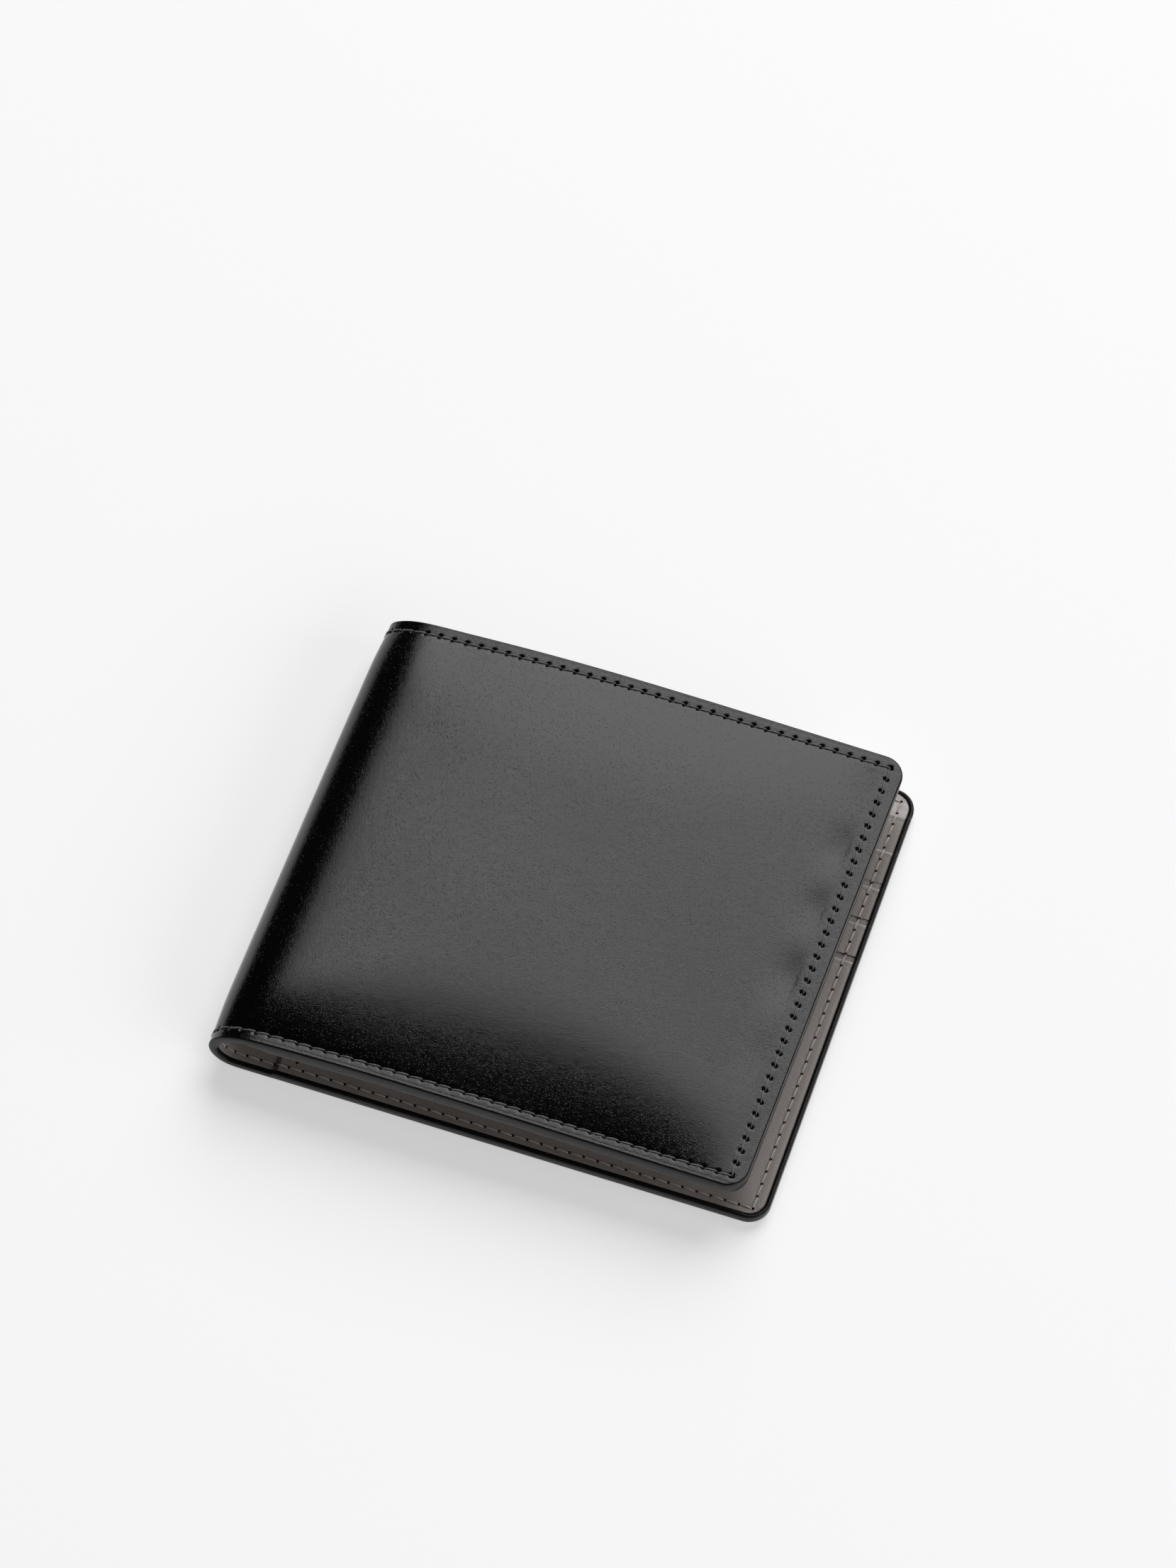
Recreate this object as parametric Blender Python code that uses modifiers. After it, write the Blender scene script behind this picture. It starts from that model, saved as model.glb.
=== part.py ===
"""Bifold wallet lying flat on its back half, slightly open, fold at -X, free edges at +X.

Units are metres. +Z is up, +Y points to the open top of the bill compartment.
Every flat sheet is drawn as an outline in the XY plane and given a thickness.
The back half and the front half hold the same layers, mirrored about the mid height.
"""

import math

import bpy
import bmesh
from mathutils import Vector

# Overall size
BACK_WIDTH = 0.107           # fold to free edge, back half
HEIGHT = 0.096               # bottom edge to top edge
FRONT_SHORT = 0.0037         # the front free edge stops this far before the back one
TOTAL_THICKNESS = 0.0133
CORNER_RADIUS = 0.005

# Layers of one half, counted from the outer face inwards
PILLOW_RISE = 0.0006         # padded centre stands proud of the stitched border
COVER_T = 0.0008
PADDING_T = 0.0004
LINING_T = 0.0002
WALL_T = 0.00025
BASE_T = 0.0003
POCKET_T = 0.00025
FRONT_POCKET_T = 0.00035
LAYER_GAP = 0.0001
BILL_GAP = 0.00015           # bill compartment, empty and lying flat

# Outlines
PILLOW_INSET = 0.0055        # from the edge to the foot of the padded centre
PILLOW_WALL = 0.0009         # leather left round the recess for the padding
PILLOW_CORNER_R = 0.003
PILLOW_ROUNDING = 0.0005     # rounded upper edge of the padded centre
PILLOW_OVERLAP = 0.0001      # the raised centre ends this far above the inside of the cover
PADDING_SLACK = 0.0003       # from the recess wall to the padding
TOP_HEM = 0.0054             # the inner sheets stop this far below the top edge
SLOT_STEP = 0.0083           # from one card slot to the next
SLOT_COUNT = 4
POCKET_DEPTH = 0.046         # card pocket, from its mouth to its lower end
POCKET_TAB = 0.007           # height of the side tabs that reach the seam
POCKET_INSET = 0.0045        # body of a card pocket, from the seam edge
PANEL_START = 0.013          # fold to the pocket panels

# Seams
SEAM_MARGIN = 0.0025         # top and bottom edges to the seam
FREE_SEAM_MARGIN = 0.003     # free edge to the seam
GROOVE_WIDTH = 0.0009
GROOVE_DEPTH = 0.00055
GROOVE_RUN_OUT = 0.001       # the groove of a half is cut this far past the bend line
NEEDLE_R = 0.00018
BOBBIN_R = 0.00012
THREAD_GAP = 0.0001
SEAM_CORNER_R = 0.0008
THREAD_START = 0.0006        # threads of a half start this far from the bend
STEP_START = 0.0006          # a thread leaves one layer this far past its edge
STEP_END = 0.0019            # and lies on the next layer this far past it
PANEL_SEAM_MARGIN = 0.003    # fold-side edge of the pocket panel to its own seam
PANEL_SEAM_START = 0.001     # the panel seam starts this far above the bottom seam

# Fold
SPINE_TRIM = math.radians(4.0)
JOIN_GAP = 0.0001            # flat sheets start this far from the line where the fold begins
ARC_STEPS = 24
CORNER_STEPS = 6
SEAM_CORNER_STEPS = 4

CUT_CLEARANCE = 0.0005       # cutting shapes reach this far outside what they cut
WELD_DISTANCE = 0.000001

BORDER_Z = PILLOW_RISE
OUTER_R = TOTAL_THICKNESS / 2 - BORDER_Z
MID_Z = TOTAL_THICKNESS / 2
FOLD_X = -BACK_WIDTH / 2
BEND_X = FOLD_X + OUTER_R
HALF_H = HEIGHT / 2
NEUTRAL_R = OUTER_R - COVER_T / 2

# The two fold hinges: placed so that the bend lays out flat at its own length
HINGE_X = BEND_X - NEUTRAL_R * math.pi / 4
HINGE_DROP = NEUTRAL_R * (1 - math.pi / 4)
BACK_HINGE = Vector((HINGE_X, 0, BORDER_Z + COVER_T / 2 + HINGE_DROP))
FRONT_HINGE = Vector((HINGE_X, 0, TOTAL_THICKNESS - BACK_HINGE.z))


def clear_scene():
    for item in list(bpy.data.objects):
        bpy.data.objects.remove(item, do_unlink=True)


def make_collection(name):
    collection = bpy.data.collections.new(name)
    bpy.context.scene.collection.children.link(collection)
    return collection


def make_material(name, color, roughness):
    material = bpy.data.materials.new(name)
    material.use_nodes = True
    shader = material.node_tree.nodes["Principled BSDF"]
    shader.inputs["Base Color"].default_value = (*color, 1.0)
    shader.inputs["Roughness"].default_value = roughness
    shader.inputs["Metallic"].default_value = 0.0
    return material


def black_leather(name):
    return make_material(name, (0.012, 0.012, 0.013), 0.42)


def taupe_leather(name):
    return make_material(name, (0.215, 0.175, 0.140), 0.60)


def lining_fabric(name):
    return make_material(name, (0.230, 0.190, 0.155), 0.75)


def padding_foam(name):
    return make_material(name, (0.600, 0.590, 0.560), 0.90)


def black_thread(name):
    return make_material(name, (0.015, 0.015, 0.016), 0.55)


def taupe_thread(name):
    return make_material(name, (0.190, 0.155, 0.125), 0.60)


def arc_points(centre_x, centre_y, radius, start, end, steps):
    points = []
    for step in range(steps + 1):
        angle = start + (end - start) * step / steps
        points.append((centre_x + radius * math.cos(angle), centre_y + radius * math.sin(angle)))
    return points


def sheet_outline(left, right, bottom, top, radius, round_top=True):
    """Rectangle whose corners at the free edge are rounded."""
    points = [(left, bottom)]
    points += arc_points(right - radius, bottom + radius, radius, -math.pi / 2, 0, CORNER_STEPS)
    if round_top:
        points += arc_points(right - radius, top - radius, radius, 0, math.pi / 2, CORNER_STEPS)
    else:
        points.append((right, top))
    points.append((left, top))
    return points


def pillow_outline(right, inset):
    left = BEND_X + inset
    edge = right - inset
    reach = HALF_H - inset
    points = []
    corners = ((edge, -reach, -math.pi / 2), (edge, reach, 0),
               (left, reach, math.pi / 2), (left, -reach, math.pi))
    radius = PILLOW_CORNER_R
    for corner_x, corner_y, start in corners:
        inward_x = -radius if corner_x == edge else radius
        inward_y = -radius if corner_y == reach else radius
        points += arc_points(corner_x + inward_x, corner_y + inward_y, radius,
                             start, start + math.pi / 2, CORNER_STEPS)
    return points


def seam_outline(right):
    """C-shaped band that runs along the bottom, the free edge and the top."""
    half = GROOVE_WIDTH / 2
    start = BEND_X - GROOVE_RUN_OUT
    seam_x = right - FREE_SEAM_MARGIN
    seam_y = HALF_H - SEAM_MARGIN
    return [(start, -seam_y - half), (seam_x + half, -seam_y - half),
            (seam_x + half, seam_y + half), (start, seam_y + half),
            (start, seam_y - half), (seam_x - half, seam_y - half),
            (seam_x - half, -seam_y + half), (start, -seam_y + half)]


def pocket_outline(left, right, mouth_y):
    """T-shaped card pocket: wide tabs at the mouth, a narrower bag below."""
    tab_y = mouth_y - POCKET_TAB
    end_y = mouth_y - POCKET_DEPTH
    body_left = left + POCKET_INSET
    body_right = right - POCKET_INSET
    return [(body_left, end_y), (body_right, end_y), (body_right, tab_y), (right, tab_y),
            (right, mouth_y), (left, mouth_y), (left, tab_y), (body_left, tab_y)]


def outline_curve(name, points, thickness):
    curve = bpy.data.curves.new(name, "CURVE")
    curve.dimensions = "2D"
    curve.fill_mode = "BOTH"
    curve.extrude = thickness / 2
    spline = curve.splines.new("POLY")
    spline.points.add(len(points) - 1)
    for point, (x, y) in zip(spline.points, points):
        point.co = (x, y, 0, 1)
    spline.use_cyclic_u = True
    return bpy.data.objects.new(name, curve)


def tube_curve(name, points, radius):
    curve = bpy.data.curves.new(name, "CURVE")
    curve.dimensions = "3D"
    curve.bevel_depth = radius
    curve.bevel_resolution = 1
    curve.use_fill_caps = True
    spline = curve.splines.new("POLY")
    spline.points.add(len(points) - 1)
    for point, place in zip(spline.points, points):
        point.co = (*place, 1)
    return bpy.data.objects.new(name, curve)


def to_mesh(item, collection):
    """Replace a curve object by a welded mesh object that can be cut."""
    collection.objects.link(item)
    bpy.context.view_layer.update()
    evaluated = item.evaluated_get(bpy.context.evaluated_depsgraph_get())
    mesh = bpy.data.meshes.new_from_object(evaluated)
    work = bmesh.new()
    work.from_mesh(mesh)
    bmesh.ops.remove_doubles(work, verts=work.verts, dist=WELD_DISTANCE)
    bmesh.ops.recalc_face_normals(work, faces=work.faces)
    work.to_mesh(mesh)
    work.free()
    name = item.name
    matrix = item.matrix_world.copy()
    bpy.data.objects.remove(item, do_unlink=True)
    solid = bpy.data.objects.new(name, mesh)
    solid.matrix_world = matrix
    collection.objects.link(solid)
    return solid


def add_boolean(target, tool, operation):
    modifier = target.modifiers.new(tool.name, "BOOLEAN")
    modifier.operation = operation
    modifier.solver = "EXACT"
    modifier.object = tool


def as_cutter(item):
    item.hide_render = True
    item.display_type = "WIRE"


def hang(item, position, hinge):
    """Parent an object to a hinge, or to nothing, with its origin at a world position."""
    origin = Vector(hinge["axis_point"]) if hinge else Vector((0, 0, 0))
    item.parent = hinge
    item.location = Vector(position) - origin


def place(item, position, hinge, collection, material):
    if item.name not in collection.objects:
        collection.objects.link(item)
    hang(item, position, hinge)
    item.data.materials.clear()
    item.data.materials.append(material)


def make_hinge(name, position, parent, collection):
    hinge = bpy.data.objects.new(name, None)
    hinge.empty_display_size = 0.01
    hinge["axis_point"] = tuple(position)
    collection.objects.link(hinge)
    hang(hinge, position, parent)
    return hinge


class Half:
    """One half of the wallet: where its layers lie and which hinge carries them."""

    def __init__(self, side, hinge):
        self.side = side
        self.hinge = hinge
        self.is_front = side == "front"
        self.right = BACK_WIDTH / 2 - (FRONT_SHORT if self.is_front else 0)

    def level(self, depth):
        """World height of a depth measured from the outer face inwards."""
        return TOTAL_THICKNESS - depth if self.is_front else depth

    def add_sheet(self, name, outline, outer, thickness, collection, material):
        sheet = outline_curve(name, outline, thickness)
        place(sheet, (0, 0, self.level(outer + thickness / 2)), self.hinge, collection, material)
        return sheet


def cutter_solid(name, outline, outer, thickness, half, cutters):
    cutter = to_mesh(outline_curve(name, outline, thickness), cutters)
    hang(cutter, (0, 0, half.level(outer + thickness / 2)), half.hinge)
    as_cutter(cutter)
    return cutter


def add_cover(half, collection, cutters):
    """Outer leather: flat border, raised centre, recess for the padding and a seam groove."""
    side = half.side
    name = "cover_" + side
    left = BEND_X + JOIN_GAP
    outline = sheet_outline(left, half.right, -HALF_H, HALF_H, CORNER_RADIUS)
    cover = to_mesh(outline_curve(name, outline, COVER_T), collection)
    depth = BORDER_Z + COVER_T / 2
    place(cover, (0, 0, half.level(depth)), half.hinge, collection, black_leather(name))

    rise_t = PILLOW_RISE + COVER_T - PILLOW_OVERLAP
    pillow = cutter_solid("pillow_" + side, pillow_outline(half.right, PILLOW_INSET),
                          0, rise_t, half, cutters)
    rounding = pillow.modifiers.new("rounding", "BEVEL")
    rounding.width = PILLOW_ROUNDING
    rounding.segments = 3
    rounding.limit_method = "ANGLE"
    add_boolean(cover, pillow, "UNION")

    recess = cutter_solid("recess_" + side, pillow_outline(half.right, PILLOW_INSET + PILLOW_WALL),
                          COVER_T, PILLOW_RISE + CUT_CLEARANCE, half, cutters)
    add_boolean(cover, recess, "DIFFERENCE")

    groove = cutter_solid("groove_" + side, seam_outline(half.right),
                          BORDER_Z - CUT_CLEARANCE, GROOVE_DEPTH + CUT_CLEARANCE, half, cutters)
    add_boolean(cover, groove, "DIFFERENCE")
    return cover


def add_padding(half, collection):
    name = "padding_" + half.side
    outline = pillow_outline(half.right, PILLOW_INSET + PILLOW_WALL + PADDING_SLACK)
    half.add_sheet(name, outline, COVER_T + LAYER_GAP, PADDING_T, collection, padding_foam(name))


def layer_depths():
    """Depth of the outer side of every sheet of one half, from the outer face inwards."""
    depths = {}
    depth = BORDER_Z + COVER_T + LAYER_GAP
    depths["lining"] = depth
    depth += LINING_T + BILL_GAP
    depths["wall"] = depth
    depth += WALL_T + LAYER_GAP
    depths["base"] = depth
    depth += BASE_T + LAYER_GAP
    for number in range(1, SLOT_COUNT + 1):
        depths["pocket", number] = depth
        depth += pocket_thickness(number) + LAYER_GAP
    return depths


def pocket_thickness(number):
    return FRONT_POCKET_T if number == SLOT_COUNT else POCKET_T


def mouth_height(number):
    """Height of a card slot; number 0 is the top of the pocket panel."""
    return HALF_H - TOP_HEM - number * SLOT_STEP


def add_inner_sheets(half, collection):
    """Cover lining, bill compartment wall and the panel that carries the card pockets."""
    depths = layer_depths()
    left = BEND_X + JOIN_GAP
    panel_left = FOLD_X + PANEL_START
    panel_top = mouth_height(0)

    name = "lining_" + half.side
    outline = sheet_outline(left, half.right, -HALF_H, HALF_H, CORNER_RADIUS)
    half.add_sheet(name, outline, depths["lining"], LINING_T, collection, lining_fabric(name))

    name = "billfold_wall_" + half.side
    outline = sheet_outline(left, half.right, -HALF_H, panel_top, CORNER_RADIUS, round_top=False)
    half.add_sheet(name, outline, depths["wall"], WALL_T, collection, taupe_leather(name))

    name = "slip_pocket_" + half.side
    outline = sheet_outline(panel_left, half.right, -HALF_H, panel_top, CORNER_RADIUS, round_top=False)
    half.add_sheet(name, outline, depths["base"], BASE_T, collection, taupe_leather(name))


def add_card_pockets(half, collection):
    depths = layer_depths()
    panel_left = FOLD_X + PANEL_START
    for number in range(1, SLOT_COUNT + 1):
        name = "card_pocket_" + half.side + "_" + str(number)
        mouth_y = mouth_height(number)
        if number < SLOT_COUNT:
            outline = pocket_outline(panel_left, half.right, mouth_y)
        else:
            outline = sheet_outline(panel_left, half.right, -HALF_H, mouth_y, CORNER_RADIUS, round_top=False)
        half.add_sheet(name, outline, depths["pocket", number], pocket_thickness(number),
                       collection, taupe_leather(name))


def rounded_corner(points, corner_x, corner_y, start, z):
    inward_x = -SEAM_CORNER_R
    inward_y = SEAM_CORNER_R if corner_y < 0 else -SEAM_CORNER_R
    for x, y in arc_points(corner_x + inward_x, corner_y + inward_y, SEAM_CORNER_R,
                           start, start + math.pi / 2, SEAM_CORNER_STEPS):
        points.append((x, y, z))


def add_needle_thread(half, collection):
    """Seam thread on the outer face, lying in the groove of the border."""
    name = "needle_thread_" + half.side
    z = half.level(BORDER_Z + THREAD_GAP / 2 + NEEDLE_R)
    start_x = BEND_X + THREAD_START
    seam_x = half.right - FREE_SEAM_MARGIN
    seam_y = HALF_H - SEAM_MARGIN
    points = [(start_x, -seam_y, z)]
    rounded_corner(points, seam_x, -seam_y, -math.pi / 2, z)
    rounded_corner(points, seam_x, seam_y, 0, z)
    points.append((start_x, seam_y, z))
    thread = tube_curve(name, points, NEEDLE_R)
    place(thread, (0, 0, 0), half.hinge, collection, black_thread(name))


def pocket_surface(depths, number):
    """Depth at which a thread lies on a card pocket, or on the panel for number 0."""
    lift = THREAD_GAP + BOBBIN_R
    if number == 0:
        return depths["base"] + BASE_T + lift
    return depths["pocket", number] + pocket_thickness(number) + lift


def stair_points(x, depths):
    """Thread that steps down from pocket to pocket on its way up, to the panel."""
    points = []
    for number in range(SLOT_COUNT, 0, -1):
        mouth_y = mouth_height(number)
        points.append((x, mouth_y + STEP_START, pocket_surface(depths, number)))
        points.append((x, mouth_y + STEP_END, pocket_surface(depths, number - 1)))
    return points


def bobbin_path(half):
    """Seam thread on the inner face; it climbs over the pocket layers that it holds."""
    depths = layer_depths()
    lift = THREAD_GAP + BOBBIN_R
    seam_x = half.right - FREE_SEAM_MARGIN
    seam_y = HALF_H - SEAM_MARGIN
    start_x = BEND_X + THREAD_START
    panel_x = FOLD_X + PANEL_START
    panel_top = mouth_height(0)
    wall_z = depths["wall"] + WALL_T + lift
    lining_z = depths["lining"] + LINING_T + lift
    pocket_z = pocket_surface(depths, SLOT_COUNT)

    points = [(start_x, -seam_y, wall_z), (panel_x - STEP_END, -seam_y, wall_z),
              (panel_x - STEP_START, -seam_y, pocket_z)]
    rounded_corner(points, seam_x, -seam_y, -math.pi / 2, pocket_z)
    points += stair_points(seam_x, depths)
    points.append((seam_x, panel_top + STEP_START, pocket_surface(depths, 0)))
    points.append((seam_x, panel_top + STEP_END, lining_z))
    points.append((seam_x, seam_y, lining_z))
    points.append((start_x, seam_y, lining_z))
    return [(x, y, half.level(z)) for x, y, z in points]


def panel_path(half):
    """Seam that closes the card pockets on the fold side."""
    depths = layer_depths()
    x = FOLD_X + PANEL_START + PANEL_SEAM_MARGIN
    start_y = -HALF_H + SEAM_MARGIN + PANEL_SEAM_START
    end_y = mouth_height(0) - PANEL_SEAM_MARGIN
    points = [(x, start_y, pocket_surface(depths, SLOT_COUNT))]
    points += stair_points(x, depths)
    points.append((x, end_y, pocket_surface(depths, 0)))
    return [(x, y, half.level(z)) for x, y, z in points]


def add_inner_threads(half, collection):
    for kind, path in (("bobbin_thread_", bobbin_path(half)), ("panel_thread_", panel_path(half))):
        name = kind + half.side
        thread = tube_curve(name, path, BOBBIN_R)
        place(thread, (0, 0, 0), half.hinge, collection, taupe_thread(name))


def bend_outline(outer_r, thickness):
    """Half ring round the fold, its open side towards +X, drawn about the bend's centre."""
    start = math.pi / 2 + SPINE_TRIM
    end = 3 * math.pi / 2 - SPINE_TRIM
    points = arc_points(0, 0, outer_r, start, end, ARC_STEPS)
    points += arc_points(0, 0, outer_r - thickness, end, start, ARC_STEPS)
    return points


def bend_solid(name, outer_r, thickness, length):
    bend = outline_curve(name, bend_outline(outer_r, thickness), length)
    bend.rotation_euler = (math.pi / 2, 0, 0)
    return bend


def add_groove_ring(name, spine, seam_y, hinge, cutters):
    """Cut the seam groove into the outside of the spine."""
    outline = arc_points(0, 0, OUTER_R + CUT_CLEARANCE, math.pi / 2, 3 * math.pi / 2, ARC_STEPS)
    outline += arc_points(0, 0, OUTER_R - GROOVE_DEPTH, 3 * math.pi / 2, math.pi / 2, ARC_STEPS)
    ring = outline_curve(name, outline, GROOVE_WIDTH)
    ring.rotation_euler = (math.pi / 2, 0, 0)
    ring = to_mesh(ring, cutters)
    ring.rotation_euler = (math.pi / 2, 0, 0)
    hang(ring, (BEND_X, seam_y, MID_Z), hinge)
    as_cutter(ring)
    add_boolean(spine, ring, "DIFFERENCE")


def add_spine(hinge, collection, cutters):
    """Cover, lining and bill compartment wall where they bend round the fold."""
    depths = layer_depths()
    centre = (BEND_X, 0, MID_Z)
    cover = to_mesh(bend_solid("cover_spine", OUTER_R, COVER_T, HEIGHT), collection)
    place(cover, centre, hinge, collection, black_leather("cover_spine"))
    cover.rotation_euler = (math.pi / 2, 0, 0)
    seam_y = HALF_H - SEAM_MARGIN
    add_groove_ring("groove_spine_top", cover, seam_y, hinge, cutters)
    add_groove_ring("groove_spine_bottom", cover, -seam_y, hinge, cutters)

    lining_r = MID_Z - depths["lining"]
    lining = bend_solid("lining_spine", lining_r, LINING_T, HEIGHT)
    place(lining, centre, hinge, collection, lining_fabric("lining_spine"))

    wall_height = HEIGHT - TOP_HEM
    wall = bend_solid("billfold_wall_spine", MID_Z - depths["wall"], WALL_T, wall_height)
    place(wall, (BEND_X, -TOP_HEM / 2, MID_Z), hinge, collection, taupe_leather("billfold_wall_spine"))

    radius = OUTER_R - THREAD_GAP / 2 - NEEDLE_R
    start = math.pi / 2 + SPINE_TRIM
    end = 3 * math.pi / 2 - SPINE_TRIM
    points = [(x, 0, z) for x, z in arc_points(0, 0, radius, start, end, ARC_STEPS)]
    for edge, y in (("top", seam_y), ("bottom", -seam_y)):
        name = "needle_thread_spine_" + edge
        thread = tube_curve(name, points, NEEDLE_R)
        place(thread, (BEND_X, y, MID_Z), hinge, collection, black_thread(name))


def build_wallet():
    clear_scene()
    wallet = make_collection("bifold_wallet")
    cutters = make_collection("cutters")
    back_hinge = make_hinge("fold_back_hinge", BACK_HINGE, None, wallet)
    front_hinge = make_hinge("fold_front_hinge", FRONT_HINGE, back_hinge, wallet)
    for half in (Half("back", None), Half("front", front_hinge)):
        add_cover(half, wallet, cutters)
        add_padding(half, wallet)
        add_inner_sheets(half, wallet)
        add_card_pockets(half, wallet)
        add_needle_thread(half, wallet)
        add_inner_threads(half, wallet)
    add_spine(back_hinge, wallet, cutters)


build_wallet()
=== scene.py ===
import math

import bpy
import numpy as np
from mathutils import Matrix, Vector


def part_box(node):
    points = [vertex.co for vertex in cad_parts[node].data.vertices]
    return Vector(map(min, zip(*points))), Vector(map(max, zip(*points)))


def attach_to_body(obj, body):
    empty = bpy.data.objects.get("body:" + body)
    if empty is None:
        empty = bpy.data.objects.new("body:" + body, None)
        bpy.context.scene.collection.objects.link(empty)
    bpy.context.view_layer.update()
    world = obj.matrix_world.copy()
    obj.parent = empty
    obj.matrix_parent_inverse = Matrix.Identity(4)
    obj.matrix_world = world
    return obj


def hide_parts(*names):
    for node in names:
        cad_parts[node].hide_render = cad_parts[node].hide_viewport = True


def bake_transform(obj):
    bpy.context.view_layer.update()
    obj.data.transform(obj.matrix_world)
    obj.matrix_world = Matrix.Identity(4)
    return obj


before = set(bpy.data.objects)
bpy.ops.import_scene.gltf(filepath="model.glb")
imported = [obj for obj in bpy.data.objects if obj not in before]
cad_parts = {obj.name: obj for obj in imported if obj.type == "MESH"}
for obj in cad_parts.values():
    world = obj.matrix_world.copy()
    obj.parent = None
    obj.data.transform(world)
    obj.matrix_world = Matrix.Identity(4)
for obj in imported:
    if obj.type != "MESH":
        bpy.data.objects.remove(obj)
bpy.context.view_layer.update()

# Every piece is laid out in the wallet's own sheet coordinates. "along" is the distance round
# the outer face from the middle of the fold, negative on the back leaf and positive on the
# front one; "across" is the height beside the fold; "rise" is measured outwards from the
# stitched border of the outer face, so everything inside the wallet has a negative rise.

MM = 0.001

# ---------------- sizes

COVER_BACK_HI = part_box("cover_back")[1]
COVER_FRONT_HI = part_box("cover_front")[1]
SPINE_LO, SPINE_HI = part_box("cover_spine")
PANEL_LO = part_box("slip_pocket_back")[0]
PANEL_THREAD_LO, PANEL_THREAD_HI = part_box("panel_thread_back")
PADDING_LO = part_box("padding_back")[0]

EDGE_PROUD = 0.2 * MM  # the painted edge stands this far out of the CAD outline
HALF_H = COVER_BACK_HI.y + EDGE_PROUD
FOLD_X = SPINE_LO.x
BORDER_Z = SPINE_LO.z

# Fold and front leaf, as a curve in the XZ plane
FOLD_R = 5.15 * MM
BACK_EASE = 3.5 * MM  # length over which the bend starts on the back leaf
FRONT_EASE = 18 * MM  # and over which it dies away on the front one
FRONT_SLOPES = (4.5, -7.6, -0.2)  # degrees: at the fold, weight of the middle, at the edge
SKEW = 0.019  # the front leaf lies slightly askew on the back one,
SKEW_REACH = 90 * MM  # fully so from this far past the bend
TOP_TUCK = 0.5 * MM  # the fold is tighter at its top end: inwards,
TUCK_REACH = 11 * MM
TOP_SINK = 0.8 * MM  # and lower, most of all at SINK_AT,
SINK_AT = 9 * MM
SINK_REACH = 24 * MM
TOP_ARCH = 0.5 * MM  # with the leaf beside it standing higher,
ARCH_START = 20 * MM  # over this stretch
ARCH_LENGTH = 95 * MM
FRONT_FADE = 6 * MM  # sink and arch start over this length from the fold
PROFILE_SPAN = (-125 * MM, 122 * MM)  # a little past both free edges
PROFILE_STEP = 0.05 * MM

# Cover leather, seams and painted edges
COVER_T = 1.05 * MM
CORNER_R = 4.3 * MM
FREE_SEAM = 2.9 * MM  # free edge to its seam
TOP_SEAM = 2.4 * MM
BOTTOM_SEAM = 2.3 * MM
PITCH = 2.7 * MM
DOME_REACH = 26 * MM  # the padding curves down over this length at the seams
FOLD_REACH = 23 * MM  # and over this length towards the fold
FREE_REACH = 40 * MM  # and towards the free edge
FOLD_END_REACH = 12 * MM  # the same at the two ends of the fold, where it is stiff
FREE_END_REACH = 17 * MM  # and at the two free corners
FOLD_DOME = 0.2 * MM
END_GROWTH = 40 * MM  # from the fold to where the reach at the long seams is full
SWELL_POWER = 2.5
PAINT_INSET = 0.35 * MM  # where the painted edge starts to turn over
LIP_GAP = 0.04 * MM  # painted lip to the layers that it frames
LIP_PROUD = 0.07 * MM
RIM_SQUARENESS = 0.7  # 1 makes the painted edge round, less makes it square
EDGE_LINE_INSET = 0.8 * MM  # faint line pressed in beside the painted edge
EDGE_LINE_WIDTH = 0.2 * MM
EDGE_LINE_DEPTH = 0.015 * MM
INNER_DOME = 0.9  # share of the crown that shows on the hidden side of the cover

# Signs of use: low waves, and dents inside the free edge's seam, each with its height on the
# leaf, size along the seam and depth in mm
DENTS = ((38, 6.0, 0.25), (26, 6.0, 0.46), (12, 6.0, 0.46), (-3, 7.0, 0.50), (-20, 7.0, 0.16))
DENT_INSET = 3.2 * MM  # seam to the middle of a dent, and its size across the seam
WAVE_HEIGHT = 0.035  # in mm
USE_FADE = 3.2 * MM  # both die away over this length at the free edge's seam
USE_FADE_ENDS = 2 * MM  # and over this one at the long seams
EDGE_WEAR_REACH = 1.2 * MM  # polish along the painted edges,
FOLD_WEAR_REACH = 7 * MM  # and round the fold,
FOLD_WEAR = 0.7  # where it is this much weaker

# Mesh lines of the cover
FINE = 0.2 * MM
BLOCK = 6  # fine cells along one coarse cell
BEND_BLOCK = 2  # the same, round the fold
GRADED = 8  # lines that crowd towards the fold's middle, where two pieces meet
GRADING = 2.2
BEND_REACH = 13 * MM
FINE_BAND = 4.4 * MM  # border that is meshed finely
RIM_STEPS = 12

# Surfaces inside: depth below the outer face at the sewn edge and in the open middle
LAYERS = ("lining", "wall", "panel", "pocket_1", "pocket_2", "pocket_3", "pocket_4")
PUFF_REACH = 9 * MM
LAYER_GAP = 0.03 * MM
STEP_BLUR = 0.35 * MM  # of the slot steps, where painted edge and thread follow them
T_POCKETS = (1, 2, 3)  # card pockets cut as a T, from the top one down
LAST_POCKET = 4  # card pocket that goes down to the bottom edge
CARD_POCKETS = T_POCKETS + (LAST_POCKET,)
MOUTHS = (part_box("slip_pocket_back")[1].y,
          *(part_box(f"card_pocket_back_{number}")[1].y for number in CARD_POCKETS))
POCKET_FOOT = tuple(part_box(f"card_pocket_back_{number}")[0].y for number in T_POCKETS)
FOLD_TAB = 8.8 * MM  # arms of the T: at the fold side they reach under the next mouth,
FREE_TAB = {"back": 7 * MM, "front": FOLD_TAB}  # at the back half's free edge they end short of it
POCKET_INSET = 4.5 * MM  # outer ends of the arms to the stem
HEM_Y = MOUTHS[0] - 4 * MM  # the lining is faced with leather above this height
HEM_HIGHLIGHT = 1.0  # and the facing is painted pale all over, a painted highlight
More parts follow.
